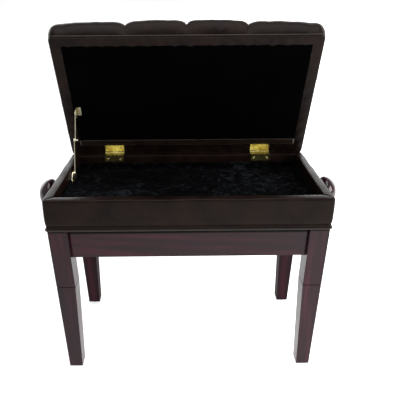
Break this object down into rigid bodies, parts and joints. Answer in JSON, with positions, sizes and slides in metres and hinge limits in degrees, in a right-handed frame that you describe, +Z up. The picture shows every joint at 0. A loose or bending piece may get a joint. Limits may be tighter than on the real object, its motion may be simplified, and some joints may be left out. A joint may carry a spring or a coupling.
{
  "type": "piano bench",
  "caption": "Adjustable piano bench with a buttoned leather lid held open on a folding stay, a lined music tray, side knobs and tapered wooden legs.",
  "frame": {"origin": "on the floor, under the middle of the bench's overall width and depth with the lid open", "axes": "+X to the right as the bench is seen from the front; +Y from the front to the hinged rear; +Z up"},
  "size_m": [0.6512, 0.3476, 0.7133],
  "materials": {
    "mahogany": "dark red-brown mahogany under high-gloss polish",
    "leather": "very dark brown smooth leather with a soft sheen",
    "velvet": "black crushed velvet",
    "dust_cloth": "matt black cloth",
    "mechanism_steel": "zinc-plated steel",
    "brass": "polished brass plate",
    "tray_board": "bare plywood",
    "glide_plastic": "black nylon"
  },
  "bodies": {
    "base": {"leg_front_left": "mahogany", "leg_front_right": "mahogany", "leg_rear_left": "mahogany", "leg_rear_right": "mahogany", "glide_front_left": "glide_plastic", "glide_front_right": "glide_plastic", "glide_rear_left": "glide_plastic", "glide_rear_right": "glide_plastic", "apron_front": "mahogany", "apron_rear": "mahogany", "apron_left": "mahogany", "apron_right": "mahogany", "lower_rail_front": "mechanism_steel", "lower_rail_rear": "mechanism_steel", "lower_pivot_shaft": "mechanism_steel"},
    "seat_box": {"box_wall_front": "leather", "box_wall_rear": "leather", "box_wall_left": "leather", "box_wall_right": "leather", "box_welt": "leather", "bushing_left": "brass", "bushing_right": "brass", "tray_floor": "tray_board", "tray_lining": "velvet", "upper_rail_front": "mechanism_steel", "upper_rail_rear": "mechanism_steel", "upper_pivot_shaft": "mechanism_steel", "hinge_leaf_lower_left": "brass", "hinge_leaf_lower_right": "brass", "stay_wall_plate": "brass"},
    "lid": {"lid_board": "leather", "dust_panel": "dust_cloth", "lid_welt": "leather", "seat_cushion": "leather", "button_01": "leather", "button_02": "leather", "button_03": "leather", "button_04": "leather", "button_05": "leather", "button_06": "leather", "button_07": "leather", "button_08": "leather", "button_09": "leather", "button_10": "leather", "hinge_leaf_upper_left": "brass", "hinge_leaf_upper_right": "brass", "stay_lid_bracket": "brass"},
    "screw": {"lift_screw": "mechanism_steel", "knob_left": "mahogany", "knob_right": "mahogany"},
    "nut": {"lift_nut": "mechanism_steel"},
    "scissor_p": {"scissor_p_arm_front": "mechanism_steel", "scissor_p_arm_rear": "mechanism_steel", "scissor_p_shaft": "mechanism_steel"},
    "scissor_q": {"scissor_q_arm_front": "mechanism_steel", "scissor_q_arm_rear": "mechanism_steel", "scissor_q_shaft": "mechanism_steel"},
    "stay_lower": {"stay_lower_arm": "brass"},
    "stay_upper": {"stay_upper_arm": "brass"}
  },
  "joints": [
    {"name": "seat_lift", "type": "slide", "parent": "base", "child": "seat_box", "axis": [0, 0, 1], "range_m": [0, 0.075]},
    {"name": "lid_hinge", "type": "hinge", "parent": "seat_box", "child": "lid", "pos_m": [0, 0.10918, 0.4257], "axis": [1, 0, 0], "range_deg": [0, 72]},
    {"name": "knob_turn", "type": "hinge", "parent": "seat_box", "child": "screw", "pos_m": [0, -0.03032, 0.378], "axis": [1, 0, 0], "range_deg": [0, 3745]},
    {"name": "nut_slide", "type": "slide", "parent": "seat_box", "child": "nut", "axis": [1, 0, 0], "range_m": [-0.0262, 0]},
    {"name": "scissor_p_pivot", "type": "hinge", "parent": "base", "child": "scissor_p", "pos_m": [-0.15, -0.03032, 0.3], "axis": [0, -1, 0], "range_deg": [0, 15.22]},
    {"name": "scissor_q_pivot", "type": "hinge", "parent": "seat_box", "child": "scissor_q", "pos_m": [-0.15, -0.03032, 0.36], "axis": [0, 1, 0], "range_deg": [0, 15.22]},
    {"name": "stay_lower_pivot", "type": "hinge", "parent": "seat_box", "child": "stay_lower", "pos_m": [-0.2537, 0.00868, 0.41], "axis": [1, 0, 0], "range_deg": [0, 118.7]},
    {"name": "stay_upper_pivot", "type": "hinge", "parent": "lid", "child": "stay_upper", "pos_m": [-0.2515, 0.06768, 0.53303], "axis": [1, 0, 0], "range_deg": [-118.5, 0]}
  ],
  "couplings": [
    {"joint": "knob_turn", "follows": "seat_lift", "rad_per_m": 871.27},
    {"joint": "nut_slide", "follows": "seat_lift", "ratio": -0.34707},
    {"joint": "scissor_p_pivot", "follows": "seat_lift", "rad_per_m": 3.5388},
    {"joint": "scissor_q_pivot", "follows": "seat_lift", "rad_per_m": 3.5388},
    {"joint": "stay_lower_pivot", "follows": "lid_hinge", "ratio": 1.6475},
    {"joint": "stay_upper_pivot", "follows": "lid_hinge", "ratio": -1.6441}
  ]
}
